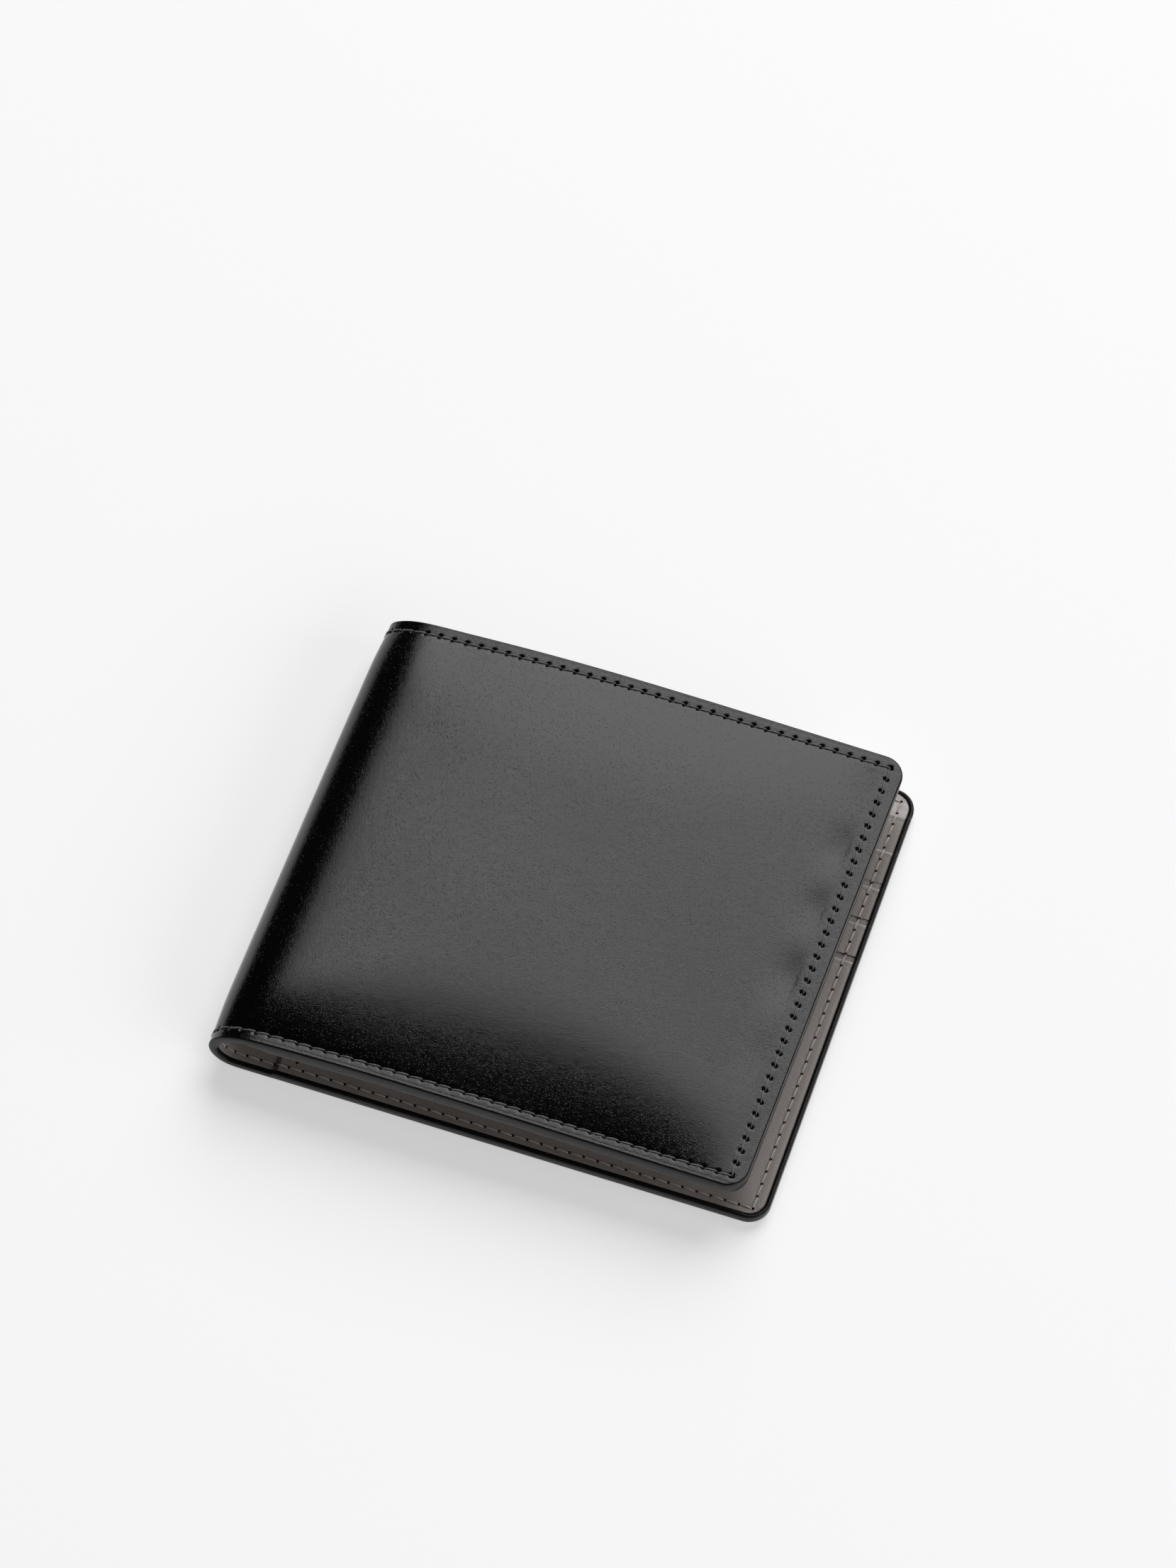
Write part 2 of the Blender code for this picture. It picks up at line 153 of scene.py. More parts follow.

# Turned mouth edges: rounded over, with a ridge and a pressed crease below it
TURN_REACH = 0.3 * MM
TURN_DROP = 0.14 * MM
RIDGE_AT = 0.35 * MM
RIDGE_WIDTH = 0.25 * MM
RIDGE_HEIGHT = 0.05 * MM
CREASE_AT = 1.1 * MM
CREASE_WIDTH = 0.22 * MM
CREASE_DEPTH = 0.07 * MM
MOUTH_WEAR_AND_HIGHLIGHT_REACH = 0.35 * MM  # the mouths are paler over this distance: rubbed, and a painted highlight on the turned edge

# The thread pulls the inner face in, and the panel presses on the wall beside it
SINK_WIDTH = 0.5 * MM
SINK_DEPTH = 0.08 * MM
PRESS_AT = 0.5 * MM
PRESS_WIDTH = 0.45 * MM
PRESS_DEPTH = 0.22 * MM

# Mesh lines of the layers
LAYER_STEP = 2.4 * MM
LAYER_BEND_STEP = 0.7 * MM
PADDING_STEP = 2.0 * MM
LEAST_STEP = 0.05 * MM
CLOSE_LINES = (-1.6, -1.3, -1.1, -0.9, -0.6, -0.3, -0.12, 0, 0.12, 0.3, 0.6, 0.9, 1.2)  # in mm
ROUNDING = 1e-9

# Padding
PADDING_MARGIN = 4.5 * MM  # seams to the padding
PADDING_BEVEL = 4 * MM
PADDING_SHARE = 0.8  # share of the crown that it fills
PADDING_GAP = 0.01 * MM

# Thread
NEEDLE_R = 0.17 * MM
BOBBIN_R = 0.15 * MM


def smooth(t):
    t = np.clip(t, 0.0, 1.0)
    return t * t * (3 - 2 * t)


# ---------------- profile of the outer face

def build_profile():
    """Curve of the stitched border in the XZ plane, made by integrating its bend."""
    along = np.arange(*PROFILE_SPAN, PROFILE_STEP)
    quarter = FOLD_R * math.pi / 2
    front_arc = FOLD_R * (math.pi / 2 - math.radians(FRONT_SLOPES[0]))
    bend = smooth((along + quarter) / BACK_EASE + 0.5)
    bend = bend - smooth((along - front_arc) / FRONT_EASE + 0.5)
    heading = math.pi - np.cumsum(bend) * PROFILE_STEP / FOLD_R
    share = np.clip((along - front_arc) / (COVER_FRONT_HI.x - FOLD_X - FOLD_R), 0, 1)
    start, middle, end = (math.radians(a) for a in FRONT_SLOPES)
    arch = start * (1 - share) ** 2 + middle * share * (1 - share) + end * share ** 2
    heading = np.where(along > front_arc, heading - heading[-1] + arch, heading)
    x = np.cumsum(np.cos(heading)) * PROFILE_STEP
    z = np.cumsum(np.sin(heading)) * PROFILE_STEP
    x += FOLD_X - x.min()
    z += BORDER_Z - z[0]
    return along - along[np.argmin(x)], x, z, heading


ALONG, PROFILE_X, PROFILE_Z, HEADING = build_profile()


def along_at(x, side):
    """Distance from the middle of the fold to a place x on one leaf."""
    leaf = ALONG * side > 0
    order = np.argsort(PROFILE_X[leaf])
    return float(np.interp(x, PROFILE_X[leaf][order], np.abs(ALONG[leaf][order])))


def place(along, across, rise):
    """World points of sheet coordinates, as an array of shape (n, 3)."""
    along, across, rise = np.broadcast_arrays(along, across, rise)
    heading = np.interp(along, ALONG, HEADING)
    x = np.interp(along, ALONG, PROFILE_X) - np.sin(heading) * rise
    z = np.interp(along, ALONG, PROFILE_Z) + np.cos(heading) * rise
    lean = SKEW * np.clip(1 + (along + BEND_REACH) / SKEW_REACH, 0, 1)
    top = np.clip((across / HALF_H + 1) / 2, 0, 1)
    x = x + lean * across + TOP_TUCK * top * np.exp(-(along / TUCK_REACH) ** 2)
    arch = TOP_ARCH * np.sin(math.pi * np.clip((along - ARCH_START) / ARCH_LENGTH, 0, 1))
    past_bend = along - SINK_AT
    sink = TOP_SINK * np.exp(-(past_bend / np.where(past_bend < 0, SINK_AT, SINK_REACH)) ** 2)
    z = z + top * (arch - sink) * smooth(along / FRONT_FADE)
    return np.stack([x, across, z], axis=-1)


class Leaf:
    """One leaf of the wallet and how its layers lie.

    side is -1 for the back leaf and 1 for the front one; dome is the height of its crown, lip the
    width of its painted edge inside, and fill_blur the length over which that edge thickens where
    the panel starts. The depths are in mm, in the order of LAYERS."""

    def __init__(self, name, side, free_x, dome, lip, fill_blur, edge_depths, open_depths):
        self.name = name
        self.side = side
        self.dome = dome
        self.lip = lip
        self.inset = lip + LIP_GAP
        self.fill_blur = fill_blur
        self.reach = along_at(free_x, side) + EDGE_PROUD
        self.panel_start = along_at(PANEL_LO.x, side)
        self.panel_seam = along_at((PANEL_THREAD_LO.x + PANEL_THREAD_HI.x) / 2, side)
        self.padding_start = along_at(PADDING_LO.x, side)
        self.seam = self.reach - FREE_SEAM
        self.edge_depths = dict(zip(LAYERS, (d * MM for d in edge_depths)))
        self.open_depths = dict(zip(LAYERS, (d * MM for d in open_depths)))

    def place(self, a, y, rise):
        return place(self.side * np.asarray(a), y, rise)


BACK = Leaf("back", side=-1, free_x=COVER_BACK_HI.x, dome=0.6 * MM, lip=0.95 * MM, fill_blur=1 * MM,
            edge_depths=(1.25, 1.50, 1.66, 1.76, 1.84, 1.92, 2.02),
            open_depths=(1.35, 1.75, 2.10, 2.45, 2.80, 3.15, 3.55))
FRONT = Leaf("front", side=1, free_x=COVER_FRONT_HI.x, dome=1.6 * MM, lip=0.62 * MM, fill_blur=8 * MM,
             edge_depths=(1.35, 1.75, 2.20, 2.48, 2.72, 2.94, 3.15),
             open_depths=(1.45, 1.90, 2.50, 2.90, 3.30, 3.70, 4.10))
LEAVES = (BACK, FRONT)
SEAM_TOP = HALF_H - TOP_SEAM
SEAM_BOTTOM = -(HALF_H - BOTTOM_SEAM)


# ---------------- seams

HOLE_LENGTH = 0.44 * MM
HOLE_WIDTH = 0.27 * MM
HOLE_SLANT = math.radians(28)
HOLE_DEPTH = 0.4 * MM
GROOVE_DEPTH = 0.015 * MM
GROOVE_WIDTH = 0.4 * MM


class Seam:
    """A straight row of needle holes, as sheet coordinates of its two ends."""

    def __init__(self, start, end):
        self.start = np.array(start)
        self.end = np.array(end)
        length = float(np.linalg.norm(self.end - self.start))
        self.count = round(length / PITCH)
        self.pitch = length / self.count
        self.direction = (self.end - self.start) / length
        self.normal = np.array([-self.direction[1], self.direction[0]])

    def holes(self):
        return self.start + np.arange(self.count + 1)[:, None] * self.direction * self.pitch

    def dent(self, along, y):
        """1 in the middle of each needle hole, falling to 0 round it."""
        run = (along - self.start[0]) * self.direction[0] + (y - self.start[1]) * self.direction[1]
        off = (along - self.start[0]) * self.normal[0] + (y - self.start[1]) * self.normal[1]
        number = np.clip(np.round(run / self.pitch), 0, self.count)
        run = run - number * self.pitch
        u = off * math.cos(HOLE_SLANT) + run * math.sin(HOLE_SLANT)
        w = -off * math.sin(HOLE_SLANT) + run * math.cos(HOLE_SLANT)
        return np.exp(-(u / HOLE_LENGTH) ** 2 - (w / HOLE_WIDTH) ** 2)


BOTTOM_ROW = Seam((-BACK.seam, SEAM_BOTTOM), (FRONT.seam, SEAM_BOTTOM))
TOP_ROW = Seam((-BACK.seam, SEAM_TOP), (FRONT.seam, SEAM_TOP))
FREE_ROWS = {leaf.name: Seam((leaf.side * leaf.seam, SEAM_BOTTOM), (leaf.side * leaf.seam, SEAM_TOP))
             for leaf in LEAVES}


def swell(t):
    """Rise of a stuffed panel next to its seam: steep at first, then flat."""
    t = np.clip(t, 0.0, 1.0)
    return 1 - (1 - t) ** SWELL_POWER


def cover_rise(leaf, a, y, holes=True):
    """Outer face above or below the flat border, from padding, seams and handling."""
    inner = leaf.seam - a
    above = y - SEAM_BOTTOM
    below = SEAM_TOP - y
    rise = padded_rise(leaf, a, inner, above, below)
    inside = smooth(inner / USE_FADE) * smooth(above / USE_FADE_ENDS) * smooth(below / USE_FADE_ENDS)
    rise = rise + inside * handling(leaf, a, y)
    near = np.minimum(np.abs(inner), np.minimum(np.abs(above), np.abs(below)))
    past_seam = np.minimum(inner, np.minimum(above, below)) < -GROOVE_WIDTH
    near = np.where(past_seam, 1.0, near)
    rise = rise - GROOVE_DEPTH * np.exp(-(near / GROOVE_WIDTH) ** 2)
    if holes:
        rise = rise - HOLE_DEPTH * hole_dents(leaf, a, y)
    edge = np.minimum(leaf.reach - a, HALF_H - np.abs(y))
    return rise - EDGE_LINE_DEPTH * np.exp(-((edge - EDGE_LINE_INSET) / EDGE_LINE_WIDTH) ** 2)


def padded_rise(leaf, a, inner, above, below):
    """Crown of the padding, from the distances inside the free, bottom and top seam."""
    reach = FOLD_END_REACH + (DOME_REACH - FOLD_END_REACH) * smooth(a / END_GROWTH)
    reach = reach + (FREE_END_REACH - reach) * smooth(1 - inner / FREE_REACH)
    crown = swell(inner / FREE_REACH) * swell(above / reach) * swell(below / reach)
    height = FOLD_DOME + (leaf.dome - FOLD_DOME) * swell(a / FOLD_REACH)
    return crown * height


def hole_dents(leaf, a, y):
    """1 in the middle of every needle hole of a leaf, falling to 0 round it."""
    dents = np.zeros_like(a)
    for row in (BOTTOM_ROW, TOP_ROW, FREE_ROWS[leaf.name]):
        dents = np.maximum(dents, row.dent(leaf.side * a, y))
    return dents


def handling(leaf, a, y):
    """Shallow dents and waves left by use, no two alike."""
    ripple = np.sin(a / (9.1 * MM) + y / (17 * MM) + leaf.side)
    cross_ripple = np.sin(y / (12.7 * MM) - a / (31 * MM))
    wave = WAVE_HEIGHT * ripple * cross_ripple
    for centre_y, size, depth in DENTS:
        off = (leaf.seam - a - DENT_INSET) / DENT_INSET
        run = (y - centre_y * MM) / (size * MM)
        wave = wave - depth * np.exp(-(off ** 2 + run ** 2))
    return wave * MM


# ---------------- depth of the layers inside

def layer_depth(leaf, layer, a, y):
    """Depth of a layer's visible face below the outer face."""
    inside = np.minimum(leaf.reach - a, HALF_H - np.abs(y)) - FREE_SEAM
    open_share = smooth(inside / PUFF_REACH)
    edge, middle = leaf.edge_depths[layer], leaf.open_depths[layer]
    return edge + (middle - edge) * open_share


def top_depth(leaf, a, y):
    """Depth of whichever layer is uppermost at a place, blurred over the slot steps."""
    depth = layer_depth(leaf, "lining", a, y)
    under_mouth = smooth((MOUTHS[0] - y) / STEP_BLUR / 2 + 0.5)
    depth = depth + (layer_depth(leaf, "wall", a, y) - depth) * under_mouth
    on_panel = smooth((a - leaf.panel_start) / STEP_BLUR / 2 + 0.5)
    for layer, mouth in zip(LAYERS[2:], MOUTHS):
        share = on_panel * smooth((mouth - y) / STEP_BLUR / 2 + 0.5)
        depth = depth + (layer_depth(leaf, layer, a, y) - depth) * share
    return depth


def rim_depth(leaf, a, y):
    """Thickness of the painted edge, which fills out before the pocket panel starts."""
    blur = leaf.fill_blur
    depth = top_depth(leaf, a, y)
    on_panel = smooth((a - leaf.panel_start + blur) / blur)
    full = top_depth(leaf, np.maximum(a, leaf.panel_start + MM), y)
    return np.maximum(depth, depth + (full - depth) * on_panel) + LIP_PROUD


# ---------------- mesh making

def round_corners(leaf, a, y, inset):
    """Moves the points of the square free corners onto round ones."""
    radius = CORNER_R - inset
    p = (a - (leaf.reach - inset - radius)) / radius
    q = (np.abs(y) - (HALF_H - inset - radius)) / radius
    corner = (p > 0) & (q > 0)
    p, q = np.clip(p, 0, 1), np.clip(q, 0, 1)
    new_a = leaf.reach - inset - radius + radius * p * np.sqrt(1 - q * q / 2)
    new_y = np.sign(y) * (HALF_H - inset - radius + radius * q * np.sqrt(1 - p * p / 2))
    return np.where(corner, new_a, a), np.where(corner, new_y, y)


def add_piece(name, points, faces, materials, flat_faces=(), painted=(), wear_and_highlight=None):
    """A mesh object, smooth-shaded except for flat_faces; painted faces take the second material."""
    mesh = bpy.data.meshes.new(name)
    mesh.from_pydata(np.asarray(points).tolist(), [], faces)
    shade = np.ones(len(faces), dtype=bool)
    shade[list(flat_faces)] = False
    mesh.polygons.foreach_set("use_smooth", shade)
    if len(painted):
        index = np.zeros(len(faces), dtype=np.int32)
        index[list(painted)] = 1
        mesh.polygons.foreach_set("material_index", index)
    if wear_and_highlight is not None:
        mesh.attributes.new("wear_and_highlight", "FLOAT", "POINT").data.foreach_set("value", wear_and_highlight)
    for material in materials:
        mesh.materials.append(material)
    mesh.update()
    piece = bpy.data.objects.new(name, mesh)
    bpy.context.scene.collection.objects.link(piece)
    return piece


class Grid:
    """A grid of quads, fine where it is asked to be and along its rim, and coarse elsewhere."""

    def __init__(self, u_marks, v_marks, fine):
        self.u_marks, self.v_marks = u_marks, v_marks
        self.fine = fine
        self.index = {}
        self.faces = []
        for i in range(len(u_marks) - 1):
            for j in range(len(v_marks) - 1):
                self.add_cell(i, j)
        self.keys = np.array(list(self.index))

    def vertex(self, i, j):
        return self.index.setdefault((i, j), len(self.index))

    def is_fine(self, i, j):
        if 0 <= i < len(self.u_marks) - 1 and 0 <= j < len(self.v_marks) - 1:
            return self.fine(i, j)
        return True

    def add_cell(self, i, j):
        u0, u1 = self.u_marks[i], self.u_marks[i + 1]
        v0, v1 = self.v_marks[j], self.v_marks[j + 1]
        if self.fine(i, j):
            for u in range(u0, u1):
                for v in range(v0, v1):
                    corners = ((u, v), (u + 1, v), (u + 1, v + 1), (u, v + 1))
                    self.faces.append([self.vertex(*c) for c in corners])
            return
        loop = [(u, v0) for u in (range(u0, u1) if self.is_fine(i, j - 1) else [u0])]
        loop += [(u1, v) for v in (range(v0, v1) if self.is_fine(i + 1, j) else [v0])]
        loop += [(u, v1) for u in (range(u1, u0, -1) if self.is_fine(i, j + 1) else [u1])]
        loop += [(u0, v) for v in (range(v1, v0, -1) if self.is_fine(i - 1, j) else [v1])]
        self.faces.append([self.vertex(*c) for c in loop])


def cover_lines(leaf):
    """Line positions of the cover, along and across, and which of them the coarse cells use."""
    bend_cells = round(BEND_REACH / (BEND_BLOCK * FINE)) * BEND_BLOCK
    rest_cells = round((leaf.reach - BEND_REACH) / (BLOCK * FINE)) * BLOCK
    bend = np.linspace(0, BEND_REACH, bend_cells + 1)
    bend[:GRADED] = bend[GRADED] * (np.arange(GRADED) / GRADED) ** GRADING
    rest = np.linspace(BEND_REACH, leaf.reach, rest_cells + 1)[1:]
    across_cells = round(2 * HALF_H / (BLOCK * FINE)) * BLOCK
    u_marks = list(range(0, bend_cells, BEND_BLOCK))
    u_marks += list(range(bend_cells, bend_cells + rest_cells + 1, BLOCK))
    v_marks = list(range(0, across_cells + 1, BLOCK))
    across = np.linspace(-HALF_H, HALF_H, across_cells + 1)
    return np.concatenate([bend, rest]), across, u_marks, v_marks


def rim_profile(lip):
    """Painted edge in section: inset from the outline and share of the edge's depth."""
    insets, shares = [], []
    for k in range(1, RIM_STEPS):
        angle = math.pi * k / RIM_STEPS
        level = abs(math.cos(angle)) ** RIM_SQUARENESS * math.copysign(1, math.cos(angle))
        insets.append(PAINT_INSET * (1 - math.sin(angle) ** RIM_SQUARENESS))
        shares.append(0.5 - 0.5 * level)
    return insets + [PAINT_INSET, lip], shares + [1.0, 1.0]


def cover_grids(leaf):
    """Line positions of the cover, and the grids of its outer and its hidden face."""
    u, v, u_marks, v_marks = cover_lines(leaf)
    u_middle = [(u[start] + u[end]) / 2 for start, end in zip(u_marks, u_marks[1:])]
    v_middle = [(v[start] + v[end]) / 2 for start, end in zip(v_marks, v_marks[1:])]

    def in_band(i, j):
        return u_middle[i] > leaf.reach - FINE_BAND or abs(v_middle[j]) > HALF_H - FINE_BAND

    return u, v, Grid(u_marks, v_marks, in_band), Grid(u_marks, v_marks, lambda i, j: False)


def cover_layout(leaf, u, v, keys, inset):
    """Places of grid points on the cover, drawn in by an inset and with round corners."""
    a = u[keys[:, 0]] * (leaf.reach - inset) / leaf.reach
    y = v[keys[:, 1]] * (HALF_H - inset) / HALF_H
    return round_corners(leaf, a, y, inset)


def outline_keys(last_u, last_v):
    """Grid points along the edge, from the fold's bottom end round to its top end."""
    around = [(i, 0) for i in range(last_u)]
    around += [(last_u, j) for j in range(last_v)]
    around += [(i, last_v) for i in range(last_u, -1, -1)]
    return around


def fold_cut(outer, inner, first_inner, loops):
    """The face that closes the cover at the middle of the fold."""
    outer_cut = [outer.index[key] for key in sorted(outer.index) if key[0] == 0]
    inner_cut = [first_inner + inner.index[key] for key in sorted(inner.index) if key[0] == 0]
    top_rim = [loop[-1] for loop in loops[1:-1]]
    bottom_rim = [loop[0] for loop in loops[1:-1]]
    return outer_cut[::-1] + bottom_rim + inner_cut + top_rim[::-1]


def make_cover(leaf, materials):
    """Leather of one leaf up to the middle of the fold, with its painted edge."""
    u, v, outer, inner = cover_grids(leaf)
    a, y = cover_layout(leaf, u, v, outer.keys, PAINT_INSET)
    points = [leaf.place(a, y, cover_rise(leaf, a, y))]
    wear_and_highlight = [edge_wear(leaf, a, y)]
    faces = [list(face) for face in outer.faces]

    around = outline_keys(len(u) - 1, len(v) - 1)
    loops = [[outer.index[key] for key in around]]
    count = len(a)
    keys = np.array(around)
    insets, shares = rim_profile(leaf.lip)
    for inset, share in zip(insets, shares):
        rim_a, rim_y = cover_layout(leaf, u, v, keys, inset)
        points.append(leaf.place(rim_a, rim_y, -rim_depth(leaf, rim_a, rim_y) * share))
        wear_and_highlight.append(np.full(len(keys), 1 - abs(2 * share - 1)))
        loops.append(list(range(count, count + len(keys))))
        count += len(keys)
    inner_a, inner_y = cover_layout(leaf, u, v, inner.keys, leaf.lip)
    dome = cover_rise(leaf, inner_a, inner_y, holes=False)
    points.append(leaf.place(inner_a, inner_y, np.maximum(dome, 0) * INNER_DOME - COVER_T))
    wear_and_highlight.append(np.zeros(len(inner_a)))
    loops.append([count + inner.index[key] for key in around])

    rim_start = len(faces)
    for upper, lower in zip(loops, loops[1:]):
        for k in range(len(upper) - 1):
            faces.append([upper[k + 1], upper[k], lower[k], lower[k + 1]])
    rim_end = len(faces)
    for face in inner.faces:
        faces.append([count + k for k in reversed(face)])
    faces.append(fold_cut(outer, inner, count, loops))
    if leaf.side < 0:
        faces = [face[::-1] for face in faces]
    return add_piece(f"cover_leather_{leaf.name}", np.concatenate(points), faces, materials,
                     flat_faces=[len(faces) - 1], painted=range(rim_start, rim_end),
                     wear_and_highlight=np.concatenate(wear_and_highlight))


def edge_wear(leaf, a, y):
    """1 where handling polishes the leather most, along the free edges and the fold."""
    edge = np.minimum(leaf.reach - a, HALF_H - np.abs(y))
    at_edge = np.exp(-edge / EDGE_WEAR_REACH)
    at_fold = FOLD_WEAR * np.exp(-(a / FOLD_WEAR_REACH) ** 2)
    return np.clip(at_edge + at_fold, 0, 1)


# ---------------- flat layers inside

def kept_cells(a_lines, y_lines, keep):
    """Row and column of each cell of a sheet for whose middle keep is true."""
    kept = np.ones((len(a_lines) - 1, len(y_lines) - 1), dtype=bool)
    if keep is not None:
        middle_a = (a_lines[1:] + a_lines[:-1]) / 2
        middle_y = (y_lines[1:] + y_lines[:-1]) / 2
        kept = keep(middle_a[:, None], middle_y[None, :]) & kept
    return np.argwhere(kept).tolist()


def slab_faces(cells, columns, size):
    """Faces of a sheet's two sides, and those that close its outline."""
    faces, outline = [], {}
    for i, j in cells:
        low, high = i * columns + j, (i + 1) * columns + j
        loop = [low, high, high + 1, low + 1]
        faces.append(loop)
        faces.append([k + size for k in reversed(loop)])
        for first, second in zip(loop, loop[1:] + loop[:1]):
            if (second, first) in outline:
                del outline[(second, first)]
            else:
                outline[(first, second)] = True
    return faces, [[end, start, start + size, end + size] for start, end in outline]


def make_slab(name, leaf, a_lines, y_lines, face_depth, under_depth, materials, keep=None, mouth=None):
    """A thin closed sheet between two depths, with square cells left out where keep is false.

    With a second material, the strip above the pocket mouths is made of it."""
    a, y = (m.ravel() for m in np.meshgrid(a_lines, y_lines, indexing="ij"))
    a, y = round_corners(leaf, a, y, leaf.inset)
    size = len(a)
    points = [leaf.place(a, y, -depth(a, y)) for depth in (under_depth, face_depth)]
    faces, sides = slab_faces(kept_cells(a_lines, y_lines, keep), len(y_lines), size)
    side_start = len(faces)
    faces += sides
    hem = []
    if len(materials) > 1:
        hem = [n for n, face in enumerate(faces) if min(y[k % size] for k in face) > HEM_Y]
    # the lining's leather facing takes the pale colour all over: a painted highlight
    wear_and_highlight = np.full(2 * size, HEM_HIGHLIGHT)
    if mouth is not None:
        # paler along each mouth: partly rubbed leather, partly a painted highlight on the turned edge
        wear_and_highlight = np.exp(-np.tile(mouth - y, 2) / MOUTH_WEAR_AND_HIGHLIGHT_REACH)
    used = np.unique([k for face in faces for k in face])
    renumber = {int(old): new for new, old in enumerate(used)}
    faces = [[renumber[k] for k in face] for face in faces]
    if leaf.side < 0:
        faces = [face[::-1] for face in faces]
    return add_piece(name, np.concatenate(points)[used], faces, materials,
                     flat_faces=range(side_start, len(faces)), painted=hem, wear_and_highlight=wear_and_highlight[used])


def lines_between(start, end, step, close_to=()):
    """Even lines, with extra ones at small distances from each place in close_to."""
    lines = list(np.linspace(start, end, max(2, round((end - start) / step) + 1)))
    for place_at in close_to:
        lines += [place_at + offset * MM for offset in CLOSE_LINES]
    lines = sorted(line for line in lines if start - ROUNDING <= line <= end + ROUNDING)
    spaced = [lines[0]]
    for line in lines[1:]:
        if line - spaced[-1] > LEAST_STEP:
            spaced.append(line)
    return np.array(spaced)


def mouth_bead(y, mouth):
    """Extra depth that rounds a turned mouth edge over, and its pressed crease."""
    away = mouth - y
    edge = TURN_DROP * np.clip(1 - away / TURN_REACH, 0, 1) ** 2
    ridge = RIDGE_HEIGHT * np.exp(-((away - RIDGE_AT) / RIDGE_WIDTH) ** 2)
    crease = CREASE_DEPTH * np.exp(-((away - CREASE_AT) / CREASE_WIDTH) ** 2)
    return edge + crease - ridge


def seam_sink(leaf, a, y):
    """Thread pulls the inner face in along the seams."""
    near = np.minimum(np.abs(y - SEAM_BOTTOM), np.abs(SEAM_TOP - y))
    near = np.minimum(np.abs(leaf.seam - a), near)
    return SINK_DEPTH * np.exp(-(near / SINK_WIDTH) ** 2)


def layer_face(leaf, layer, mouth=None):
    """Depth function of a layer's visible face, with its mouth and seams pressed in."""

    def depth(a, y):
        value = layer_depth(leaf, layer, a, y) - seam_sink(leaf, a, y)
        if mouth is not None:
            value = value - mouth_bead(y, mouth)
        if layer == "wall":
            beside_panel = (a - leaf.panel_start + PRESS_AT) / PRESS_WIDTH
            value = value - PRESS_DEPTH * np.exp(-beside_panel ** 2)
        return value

    return depth


def under_face(leaf, layer):
    """Depth function of a layer's hidden face, just clear of the layer below it."""
    number = LAYERS.index(layer)

    def depth(a, y):
        if number == 0:
            return np.full_like(a, COVER_T + LAYER_GAP)
        return layer_depth(leaf, LAYERS[number - 1], a, y) + LAYER_GAP

    return depth


def make_layer(name, leaf, layer, a_lines, y_lines, materials, mouth=None, keep=None):
    """One layer inside the wallet; all but the lining end in a turned mouth."""
    return make_slab(name, leaf, a_lines, y_lines, layer_face(leaf, layer, mouth),
                     under_face(leaf, layer), materials, keep, mouth)


def make_t_pocket(leaf, number, material):
    """A card pocket cut as a T: two arms under its mouth, and a stem between the seams."""
    mouth = MOUTHS[number]
    free_tab = FREE_TAB[leaf.name]
    free = leaf.reach - leaf.inset
    left, right = leaf.panel_start + POCKET_INSET, free - POCKET_INSET
    y_lines = lines_between(POCKET_FOOT[number - 1], mouth, LAYER_STEP,
                            (mouth, mouth - free_tab, mouth - FOLD_TAB))
    a_lines = lines_between(leaf.panel_start, free, LAYER_STEP,
                            (leaf.seam, leaf.panel_start, left, right))

    def keep(a, y):
        tab = np.where(a < left, FOLD_TAB, free_tab)
        return (y > mouth - tab) | ((a > left) & (a < right))

    return make_layer(f"card_pocket_sheet_{leaf.name}_{number}", leaf, f"pocket_{number}",
                      a_lines, y_lines, [material], mouth, keep)


def make_layers(leaf, inner_leather, lining_fabric):
    """Lining, billfold wall, panel and card pockets of one leaf, as a dictionary."""
    free = leaf.reach - leaf.inset
    foot = -(HALF_H - leaf.inset)
    bend_a = lines_between(0, BEND_REACH, LAYER_BEND_STEP)
    open_a = lines_between(BEND_REACH, free, LAYER_STEP, (leaf.seam, leaf.panel_start))
    wide_a = np.concatenate([bend_a, open_a[1:]])
    panel_a = lines_between(leaf.panel_start, free, LAYER_STEP,
                            (leaf.seam, leaf.panel_start, leaf.panel_seam))
    lining_y = lines_between(foot, -foot, LAYER_STEP, (SEAM_BOTTOM, SEAM_TOP))
    pieces = {"lining": make_layer(f"lining_sheet_{leaf.name}", leaf, "lining", wide_a, lining_y,
                                   [lining_fabric, inner_leather])}
    upper_y = lines_between(foot, MOUTHS[0], LAYER_STEP, (SEAM_BOTTOM, MOUTHS[0]))
    for layer, name, a_lines in (("wall", "billfold_wall", wide_a), ("panel", "slip_pocket", panel_a)):
        pieces[layer] = make_layer(f"{name}_sheet_{leaf.name}", leaf, layer, a_lines, upper_y,
                                   [inner_leather], MOUTHS[0])
    for number in T_POCKETS:
        pieces[f"pocket_{number}"] = make_t_pocket(leaf, number, inner_leather)
    last_mouth = MOUTHS[LAST_POCKET]
    last_y = lines_between(foot, last_mouth, LAYER_STEP, (SEAM_BOTTOM, last_mouth))
    pieces["pocket_4"] = make_layer(f"card_pocket_sheet_{leaf.name}_4", leaf, "pocket_4", panel_a,
                                    last_y, [inner_leather], last_mouth)
    return pieces


def make_padding(leaf, material):
    """Crowned wadding between the cover and the lining."""
    a_lines = lines_between(leaf.padding_start, leaf.seam - PADDING_MARGIN, PADDING_STEP)
    y_lines = lines_between(SEAM_BOTTOM + PADDING_MARGIN, SEAM_TOP - PADDING_MARGIN, PADDING_STEP)

    def outer(a, y):
        inside = np.minimum(np.minimum(a - a_lines[0], a_lines[-1] - a),
                            np.minimum(y - y_lines[0], y_lines[-1] - y))
        crown = np.maximum(cover_rise(leaf, a, y, holes=False), 0)
        thick = crown * PADDING_SHARE * smooth(inside / PADDING_BEVEL)
        return COVER_T - thick - PADDING_GAP

    def lower(a, y):
        return np.full_like(a, COVER_T + PADDING_GAP)

    return make_slab(f"wadding_{leaf.name}", leaf, a_lines, y_lines, lower, outer, [material])


# ---------------- thread

